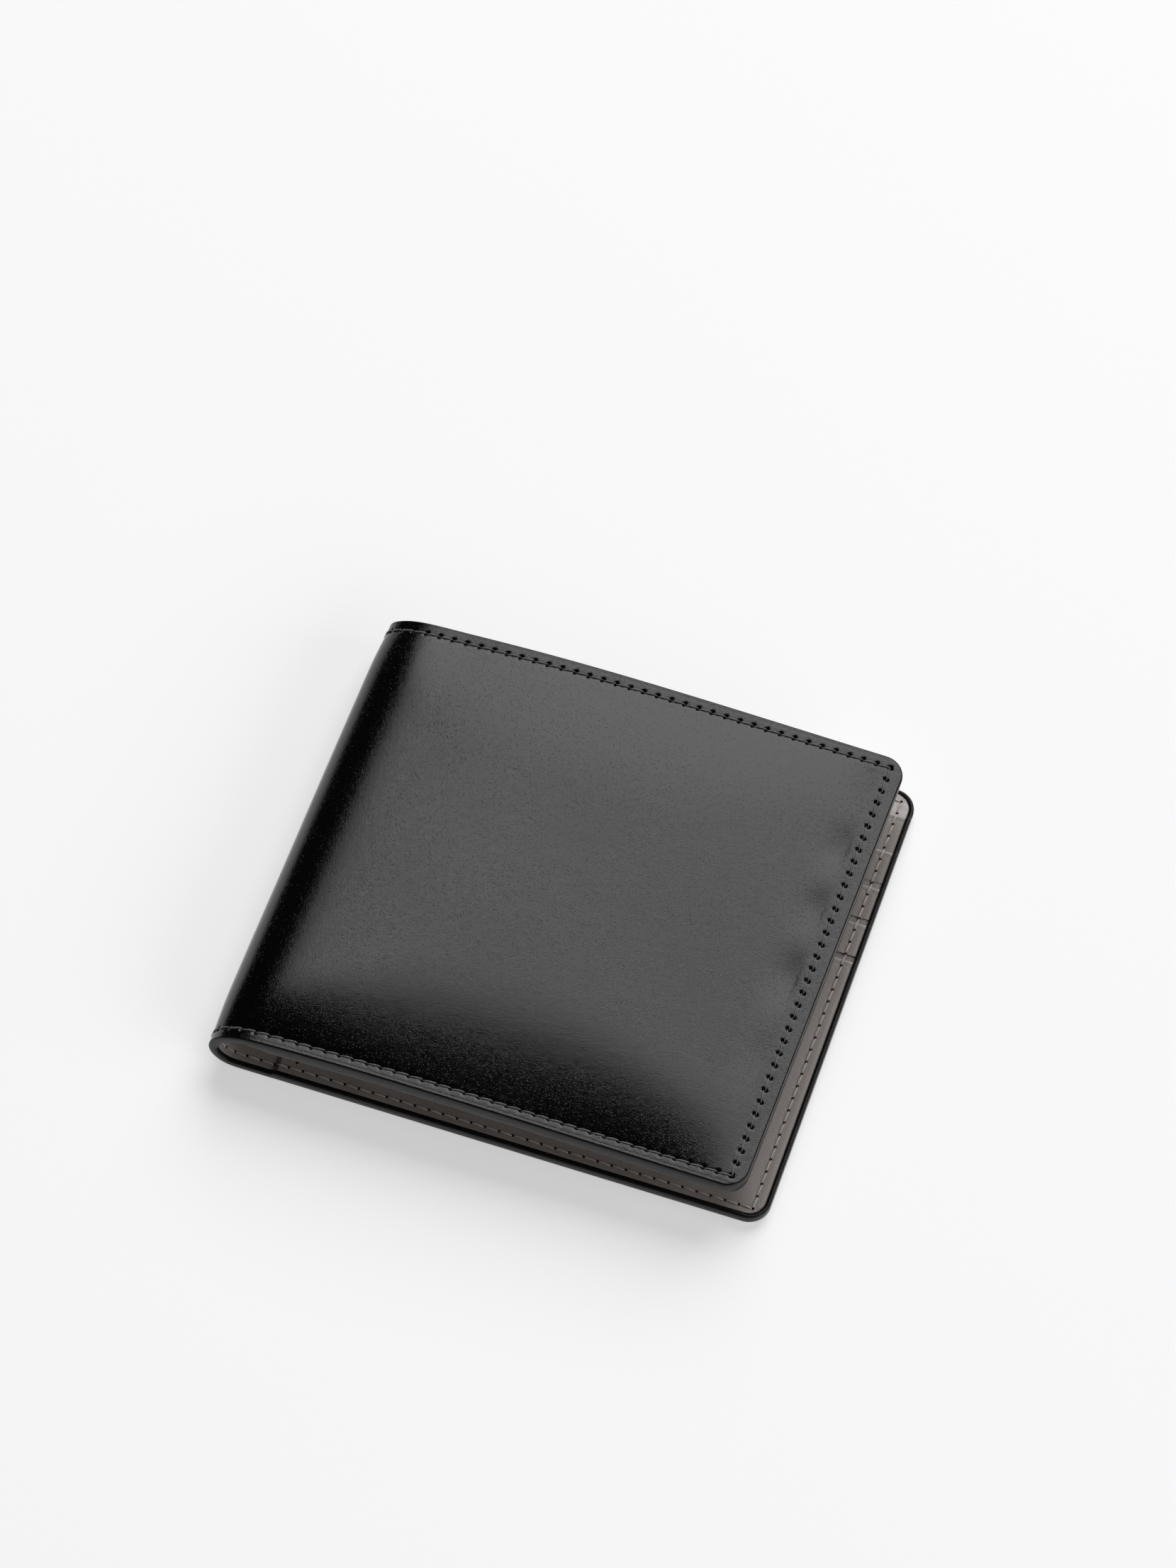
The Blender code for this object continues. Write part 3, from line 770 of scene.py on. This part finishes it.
STITCH_RINGS = 9
STITCH_SIDES = 8
STITCH_LEAN = 0.14 * MM  # each stitch lies askew by this much at either end
STITCH_RISE = 1.75  # radii from its ends up to its middle
STITCH_SINK = 1.1  # radii from the surface down to its ends
STITCH_FLATNESS = 0.55  # exponent of its arch
STITCH_END = 0.55  # thickness at its ends, against the middle
TWIST_DEPTH = 0.14
TWIST_TURNS = 1.6
# painted shade of the needle holes inside: a dark disc of this radius, lifted this far off the surface
HOLE_SHADE_R = 0.3 * MM
HOLE_SHADE_LIFT = 0.03 * MM
SHARE = np.linspace(0, 1, STITCH_RINGS)
ANGLE = np.linspace(0, 2 * math.pi, STITCH_SIDES, endpoint=False)


def stitch_points(leaf, start, end, surface, radius, outward):
    """Rings of points along one stitch, from its first hole up and down into the next."""
    run = end - start
    side = np.array([-run[1], run[0]]) / np.linalg.norm(run)
    lean = STITCH_LEAN * (2 * SHARE - 1)
    line = start + run * SHARE[:, None] + side * lean[:, None]
    a, y = leaf.side * line[:, 0], line[:, 1]
    lift = (np.sin(math.pi * SHARE) ** STITCH_FLATNESS * STITCH_RISE - STITCH_SINK) * radius
    base = surface(leaf, a, y)
    centre = leaf.place(a, y, base + outward * lift)
    above = leaf.place(a, y, base + outward * (lift + MM)) - centre
    tangent = np.gradient(centre, axis=0)
    tangent /= np.linalg.norm(tangent, axis=1)[:, None]
    up = above - tangent * np.sum(above * tangent, axis=1)[:, None]
    up /= np.linalg.norm(up, axis=1)[:, None]
    across = np.cross(tangent, up)
    thick = radius * (STITCH_END + (1 - STITCH_END) * np.sin(math.pi * SHARE) ** 0.5)
    turned = ANGLE[None, :] - TWIST_TURNS * 2 * math.pi * SHARE[:, None]
    twist = 1 + TWIST_DEPTH * np.cos(2 * turned)
    ring = np.cos(ANGLE)[None, :, None] * across[:, None, :]
    ring = ring + np.sin(ANGLE)[None, :, None] * up[:, None, :]
    return (centre[:, None, :] + ring * (thick[:, None] * twist)[:, :, None]).reshape(-1, 3)


def stitch_faces(first):
    """Faces of a closed tube whose points start at a given number."""
    faces = []
    for low in range(first, first + (STITCH_RINGS - 1) * STITCH_SIDES, STITCH_SIDES):
        high = low + STITCH_SIDES
        for s in range(STITCH_SIDES):
            t = (s + 1) % STITCH_SIDES
            faces.append([low + s, low + t, high + t, high + s])
    last = first + (STITCH_RINGS - 1) * STITCH_SIDES
    faces.append([first + s for s in reversed(range(STITCH_SIDES))])
    faces.append([last + s for s in range(STITCH_SIDES)])
    return faces


def make_stitches(name, leaf, runs, surface, radius, outward, materials):
    """Twisted thread between neighbouring holes of a surface: runs lists them in pairs.

    A second material paints the shade in the needle holes, as a dark disc round the hole where each
    thread goes in."""
    points, faces, rims = [], [], []
    count = 0
    for start, end in runs:
        points.append(stitch_points(leaf, start, end, surface, radius, outward))
        faces += stitch_faces(count)
        count += STITCH_RINGS * STITCH_SIDES
        if len(materials) > 1:
            rim_a = leaf.side * start[0] + HOLE_SHADE_R * np.cos(ANGLE)
            rim_y = start[1] + HOLE_SHADE_R * np.sin(ANGLE)
            rim_rise = surface(leaf, rim_a, rim_y) + outward * HOLE_SHADE_LIFT
            points.append(leaf.place(rim_a, rim_y, rim_rise))
            rims.append(len(faces))
            faces.append([count + s for s in range(STITCH_SIDES)])
            count += STITCH_SIDES
    return add_piece(name, np.concatenate(points), faces, materials, painted=rims)


def outer_surface(leaf, a, y):
    return cover_rise(leaf, a, y, holes=False)


def inner_surface(leaf, a, y):
    return -top_depth(leaf, a, y)


def seam_runs(leaf):
    """Both holes of every stitch of the outer seams that belongs to one leaf."""
    runs = []
    for row in (BOTTOM_ROW, TOP_ROW, FREE_ROWS[leaf.name]):
        holes = row.holes()
        for start, end in zip(holes, holes[1:]):
            if (start[0] + end[0]) / 2 * leaf.side > 0:
                runs.append((start, end))
    return runs


def panel_runs(leaf):
    """The same for the seam down the fold side of the pocket panel."""
    along = leaf.side * leaf.panel_seam
    holes = Seam((along, PANEL_THREAD_LO.y), (along, PANEL_THREAD_HI.y)).holes()
    return zip(holes, holes[1:])


# ---------------- materials

def new_material(name, roughness, specular=0.5):
    """A material with its node tree, its shader and the piece's own coordinates."""
    material = bpy.data.materials.new(name)
    material.use_nodes = True
    tree = material.node_tree
    shader = tree.nodes["Principled BSDF"]
    shader.inputs["Roughness"].default_value = roughness
    shader.inputs["Specular IOR Level"].default_value = specular
    return material, tree, shader, add_node(tree, "ShaderNodeTexCoord", {}).outputs["Object"]


def fill(tree, socket, value):
    """Links a socket to another one, or gives it a value."""
    if isinstance(value, bpy.types.NodeSocket):
        tree.links.new(value, socket)
    else:
        socket.default_value = value


def add_node(tree, kind, inputs, **settings):
    """A node with its settings made and its inputs filled, by name or by number."""
    node = tree.nodes.new(kind)
    for name, value in settings.items():
        setattr(node, name, value)
    for name, value in inputs.items():
        fill(tree, node.inputs[name], value)
    return node


def mix_colours(tree, share, low, high):
    """Colour that goes from low to high with a 0 to 1 socket."""
    inputs = {0: share, 6: low, 7: (*high, 1)}
    return add_node(tree, "ShaderNodeMix", inputs, data_type="RGBA").outputs[2]


def add_colour(tree, shader, share, low, high):
    tree.links.new(mix_colours(tree, share, (*low, 1), high), shader.inputs["Base Color"])


def add_bump(tree, shader, height, distance, strength):
    inputs = {"Height": height, "Distance": distance, "Strength": strength}
    bump = add_node(tree, "ShaderNodeBump", inputs)
    tree.links.new(bump.outputs["Normal"], shader.inputs["Normal"])


def remap(tree, value, low, high):
    inputs = {"Value": value, "To Min": low, "To Max": high}
    return add_node(tree, "ShaderNodeMapRange", inputs).outputs["Result"]


def combine(tree, operation, first, second):
    return add_node(tree, "ShaderNodeMath", {0: first, 1: second}, operation=operation).outputs[0]


def add_up(tree, layers):
    """Sum of height sockets, each with its weight."""
    total = None
    for socket, weight in layers:
        part = combine(tree, "MULTIPLY", socket, weight)
        total = part if total is None else combine(tree, "ADD", total, part)
    return total


def noise(tree, coords, size, detail=3.0, distortion=0.0):
    """Noise with features about the given size in metres."""
    inputs = {"Vector": coords, "Scale": 1 / size, "Detail": detail, "Distortion": distortion}
    return add_node(tree, "ShaderNodeTexNoise", inputs).outputs["Fac"]


def cells(tree, coords, size, feature, full_at):
    """Cells about the given size: 1 over most of them, falling to 0 at their edges or middles."""
    inputs = {"Vector": coords, "Scale": 1 / size, "Randomness": 1.0}
    voronoi = add_node(tree, "ShaderNodeTexVoronoi", inputs, feature=feature)
    inputs = {"Value": voronoi.outputs["Distance"], "From Max": full_at}
    smoothed = add_node(tree, "ShaderNodeMapRange", inputs, interpolation_type="SMOOTHSTEP")
    return smoothed.outputs["Result"]


def leather(name, low, high, roughness, grain, grain_height, specular=0.5, wear_and_highlight_colour=None, pit_depth=0.5):
    """Grained leather: pebbles, pores, pits and slow changes of tone, paler and polished where a piece
    marks it: real wear on the cover; on the inner leather a painted highlight, along the pocket mouths
    partly rubbed pale as well.
    """
    material, tree, shader, coords = new_material(name, roughness, specular)
    inputs = {"Vector": coords, "Scale": 1 / (3 * grain), "Detail": 2.0}
    shift = add_node(tree, "ShaderNodeTexNoise", inputs).outputs["Color"]
    bent = add_node(tree, "ShaderNodeVectorMath", {0: shift, 1: (grain, grain, grain), 2: coords},
                    operation="MULTIPLY_ADD").outputs[0]
    pebbles = cells(tree, bent, grain, "DISTANCE_TO_EDGE", full_at=0.22)
    pores = noise(tree, coords, grain * 0.4, 2.0)
    folds = noise(tree, coords, grain * 9, 4.0, 0.6)
    pits = cells(tree, bent, grain * 1.3, "F1", full_at=0.3)
    height = add_up(tree, [(pebbles, 0.4), (pores, 0.6), (folds, 1.2), (pits, pit_depth)])
    add_bump(tree, shader, height, grain_height, strength=1.0)
    tone = noise(tree, coords, 0.018, 5.0, 0.4)
    tone = combine(tree, "MULTIPLY", tone, remap(tree, pebbles, 0.75, 1.0))
    colour = mix_colours(tree, tone, (*low, 1), high)
    rough = remap(tree, noise(tree, coords, 0.004, 4.0), roughness - 0.02, roughness + 0.02)
    # paler colour from the piece's marks: real wear on the cover, a painted highlight on the inner
    # leather
    if wear_and_highlight_colour is not None:
        wear_and_highlight = add_node(tree, "ShaderNodeAttribute", {}, attribute_name="wear_and_highlight").outputs["Fac"]
        wear_and_highlight = combine(tree, "MULTIPLY", wear_and_highlight, remap(tree, noise(tree, coords, 0.0015, 4.0), 0.2, 1.0))
        colour = mix_colours(tree, wear_and_highlight, colour, wear_and_highlight_colour)
        rough = combine(tree, "SUBTRACT", rough, combine(tree, "MULTIPLY", wear_and_highlight, 0.04))
    tree.links.new(colour, shader.inputs["Base Color"])
    tree.links.new(rough, shader.inputs["Roughness"])
    return material


def edge_paint(name):
    """Glossy black edge paint, laid on thick over the ends of the layers."""
    material, tree, shader, coords = new_material(name, roughness=0.26, specular=0.22)
    squash = add_node(tree, "ShaderNodeMapping", {"Vector": coords, "Scale": (0.25, 0.25, 2.6)})
    runs = noise(tree, squash.outputs["Vector"], 0.0011)
    fine = noise(tree, coords, 0.0003)
    height = combine(tree, "ADD", runs, combine(tree, "MULTIPLY", fine, 0.25))
    add_bump(tree, shader, height, 0.00012, strength=0.7)
    add_colour(tree, shader, fine, (0.004, 0.004, 0.004), (0.012, 0.0115, 0.011))
    tree.links.new(remap(tree, runs, 0.2, 0.36), shader.inputs["Roughness"])
    return material


def thread_material(name, low, high, roughness):
    """Bonded thread: fine fibres along it and small changes of tone."""
    material, tree, shader, coords = new_material(name, roughness)
    fibres = noise(tree, coords, 0.00012, distortion=0.5)
    add_bump(tree, shader, fibres, 0.00003, strength=0.8)
    tone = combine(tree, "MULTIPLY", fibres, noise(tree, coords, 0.003, 2.0))
    add_colour(tree, shader, remap(tree, tone, 0.0, 2.0), low, high)
    return material


def bands(tree, coords, scale, distortion, direction):
    inputs = {"Vector": coords, "Scale": scale, "Distortion": distortion}
    return add_node(tree, "ShaderNodeTexWave", inputs, bands_direction=direction).outputs["Fac"]


def woven(name, low, high, pitch):
    """Twill lining: two sets of fine yarns crossing, with a slanted rib."""
    material, tree, shader, coords = new_material(name, roughness=0.6, specular=0.3)
    rib = bands(tree, coords, 0.31 / pitch, 0.3, "DIAGONAL")
    yarn = bands(tree, coords, 0.62 / pitch, 0.5, "Y")
    weave = combine(tree, "MULTIPLY", rib, remap(tree, yarn, 0.5, 1.0))
    add_bump(tree, shader, weave, 0.00006, strength=0.8)
    tone = combine(tree, "MULTIPLY", weave, remap(tree, noise(tree, coords, 0.01), 0.7, 1.2))
    add_colour(tree, shader, tone, low, high)
    shader.inputs["Sheen Weight"].default_value = 0.15
    return material


def felted(name, low, high):
    """Wadding: matted fibres."""
    material, tree, shader, coords = new_material(name, roughness=0.9, specular=0.2)
    fibres = noise(tree, coords, 0.0006, 6.0, 2.0)
    add_bump(tree, shader, fibres, 0.0002, strength=0.8)
    add_colour(tree, shader, fibres, low, high)
    return material


COVER_LEATHER = leather("cover_leather", (0.0007, 0.0007, 0.0007), (0.0018, 0.0017, 0.0017),
                        roughness=0.14, grain=0.00036, grain_height=0.000014,
                        wear_and_highlight_colour=(0.004, 0.0037, 0.0035), pit_depth=1.7)
EDGE_PAINT = edge_paint("edge_paint")
# its pale colour is a painted highlight on the lining's leather facing and along the pocket mouths,
# where the mouths are also rubbed
INNER_LEATHER = leather("inner_leather", (0.27, 0.238, 0.22), (0.43, 0.39, 0.37),
                        roughness=0.5, grain=0.00055, grain_height=0.00003, specular=0.4,
                        wear_and_highlight_colour=(0.78, 0.75, 0.73))
# painted shade: dark colour for the discs that stand for the shade in the needle holes
NEEDLE_HOLE_SHADE = felted("needle_hole_shade", (0.012, 0.009, 0.008), (0.04, 0.032, 0.028))
LINING_FABRIC = woven("lining_fabric", (0.012, 0.012, 0.013), (0.05, 0.05, 0.052), pitch=0.00045)
WADDING = felted("wadding", (0.55, 0.53, 0.5), (0.8, 0.78, 0.75))
# the thread is dark grey; its colour is raised further as a painted highlight for the light the thread
# catches
OUTER_THREAD = thread_material("outer_thread", (0.08, 0.08, 0.082), (0.26, 0.26, 0.265), roughness=0.34)
# the taupe thread is painted paler than the leather, a painted highlight for its glints
INNER_THREAD = thread_material("inner_thread", (0.45, 0.41, 0.39), (0.75, 0.7, 0.67), roughness=0.42)


# ---------------- the wallet

def attach(piece, leaf, across_fold):
    """Makes a piece follow its leaf; a piece that crosses the fold only has its transform baked in."""
    if not across_fold:
        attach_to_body(piece, f"{leaf.name}_half")
        return
    if leaf is BACK:
        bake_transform(piece)
    else:
        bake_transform(piece)


def make_threads(leaf):
    """Needle, bobbin and panel stitches of one leaf."""
    inner = [INNER_THREAD, NEEDLE_HOLE_SHADE]
    needle = make_stitches(f"needle_stitches_{leaf.name}", leaf, seam_runs(leaf),
                           outer_surface, NEEDLE_R, 1, [OUTER_THREAD])
    bobbin = make_stitches(f"bobbin_stitches_{leaf.name}", leaf, seam_runs(leaf),
                           inner_surface, BOBBIN_R, -1, inner)
    panel = make_stitches(f"panel_stitches_{leaf.name}", leaf, panel_runs(leaf),
                          inner_surface, BOBBIN_R, -1, inner)
    return needle, bobbin, panel


def build_leaf(leaf):
    """Every piece of one leaf; those of the back leaf also stand for the CAD's spine."""
    name = leaf.name
    spine = leaf is BACK
    cover = make_cover(leaf, [COVER_LEATHER, EDGE_PAINT])
    layers = make_layers(leaf, INNER_LEATHER, LINING_FABRIC)
    wadding = make_padding(leaf, WADDING)
    needle, bobbin, panel = make_threads(leaf)
    spine_threads = ["needle_thread_spine_top", "needle_thread_spine_bottom"]
    replaced = {
        cover: [f"cover_{name}"] + ["cover_spine"] * spine,
        layers["lining"]: [f"lining_{name}"] + ["lining_spine"] * spine,
        layers["wall"]: [f"billfold_wall_{name}"] + ["billfold_wall_spine"] * spine,
        layers["panel"]: [f"slip_pocket_{name}"],
        wadding: [f"padding_{name}"],
        needle: [f"needle_thread_{name}"] + spine_threads * spine,
        bobbin: [f"bobbin_thread_{name}"],
        panel: [f"panel_thread_{name}"],
    }
    for number in CARD_POCKETS:
        replaced[layers[f"pocket_{number}"]] = [f"card_pocket_{name}_{number}"]
    slots = {cover: "cover_leather", layers["lining"]: "lining_fabric", wadding: "padding",
             needle: "outer_thread", bobbin: "inner_thread", panel: "inner_thread"}
    crossing = (cover, layers["lining"], layers["wall"], needle, bobbin)
    for piece, nodes in replaced.items():
        attach(piece, leaf, piece in crossing)
        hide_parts(*nodes)
        slots.get(piece, "inner_leather")


for one_leaf in LEAVES:
    build_leaf(one_leaf)


# ---------------- floor, light and camera

FLOOR_SIZE = 6.0
FLOOR_Z = -0.0002  # just clear of the wallet
FLOOR_GLOW = 0.48
WORLD_LIGHT = 0.018
# Azimuth and elevation in degrees; distance, width and height in metres; radiance
SOFTBOX = (177, 42, 3.6, 3.15, 3.36, 2.9)
FILL = (72, 24, 3.6, 4.2, 1.5, 2.3)
AZIMUTH = math.radians(16.16)
ELEVATION = math.radians(59.9)
ROLL = math.radians(2.53)
CAMERA_AIM = Vector((-0.0050, 0.0256, 0.010))
CAMERA_DISTANCE = 1.673
FOCAL_LENGTH = 204.7


def direction(azimuth, elevation):
    """Unit vector towards a place in the sky: azimuth 0 is in front, and turns to the right."""
    flat = math.cos(elevation)
    return Vector((math.sin(azimuth) * flat, -math.cos(azimuth) * flat, math.sin(elevation)))


def add_floor():
    bpy.ops.mesh.primitive_grid_add(x_subdivisions=8, y_subdivisions=8, size=FLOOR_SIZE,
                                    location=(0, 0, FLOOR_Z))
    floor = bpy.context.object
    floor.name = "floor"
    material, tree, shader, coords = new_material("floor", roughness=0.9, specular=0.1)
    tone = noise(tree, coords, 0.3)
    add_colour(tree, shader, tone, (0.84, 0.84, 0.84), (0.86, 0.86, 0.86))
    shader.inputs["Emission Color"].default_value = (1, 1, 1, 1)
    shader.inputs["Emission Strength"].default_value = FLOOR_GLOW
    floor.data.materials.append(material)


def add_area_light(name, azimuth, elevation, distance, width, height, radiance):
    """A soft panel that faces the wallet, given by its place in the sky and its brightness."""
    data = bpy.data.lights.new(name, "AREA")
    data.shape = "RECTANGLE"
    data.size = width
    data.size_y = height
    data.energy = radiance * math.pi * width * height
    light = bpy.data.objects.new(name, data)
    towards = direction(math.radians(azimuth), math.radians(elevation))
    light.location = towards * distance
    light.rotation_euler = towards.to_track_quat("Z", "Y").to_euler()
    bpy.context.scene.collection.objects.link(light)


def add_camera():
    data = bpy.data.cameras.new("camera")
    data.lens = FOCAL_LENGTH
    data.sensor_width = 36
    data.clip_start = 0.1
    data.clip_end = 20
    camera = bpy.data.objects.new("camera", data)
    back = direction(AZIMUTH, ELEVATION)
    right = Vector((math.cos(AZIMUTH), math.sin(AZIMUTH), 0))
    up = back.cross(right)
    turn = Matrix((right, up, back)).transposed() @ Matrix.Rotation(ROLL, 3, "Z")
    camera.matrix_world = Matrix.Translation(CAMERA_AIM + back * CAMERA_DISTANCE) @ turn.to_4x4()
    bpy.context.scene.collection.objects.link(camera)
    bpy.context.scene.camera = camera


def add_world():
    world = bpy.data.worlds.new("studio")
    world.use_nodes = True
    background = world.node_tree.nodes["Background"]
    background.inputs["Color"].default_value = (1, 1, 1, 1)
    background.inputs["Strength"].default_value = WORLD_LIGHT
    bpy.context.scene.world = world


add_world()
add_floor()
add_area_light("softbox", *SOFTBOX)
add_area_light("fill", *FILL)
add_camera()
bpy.context.scene.view_settings.view_transform = "Standard"
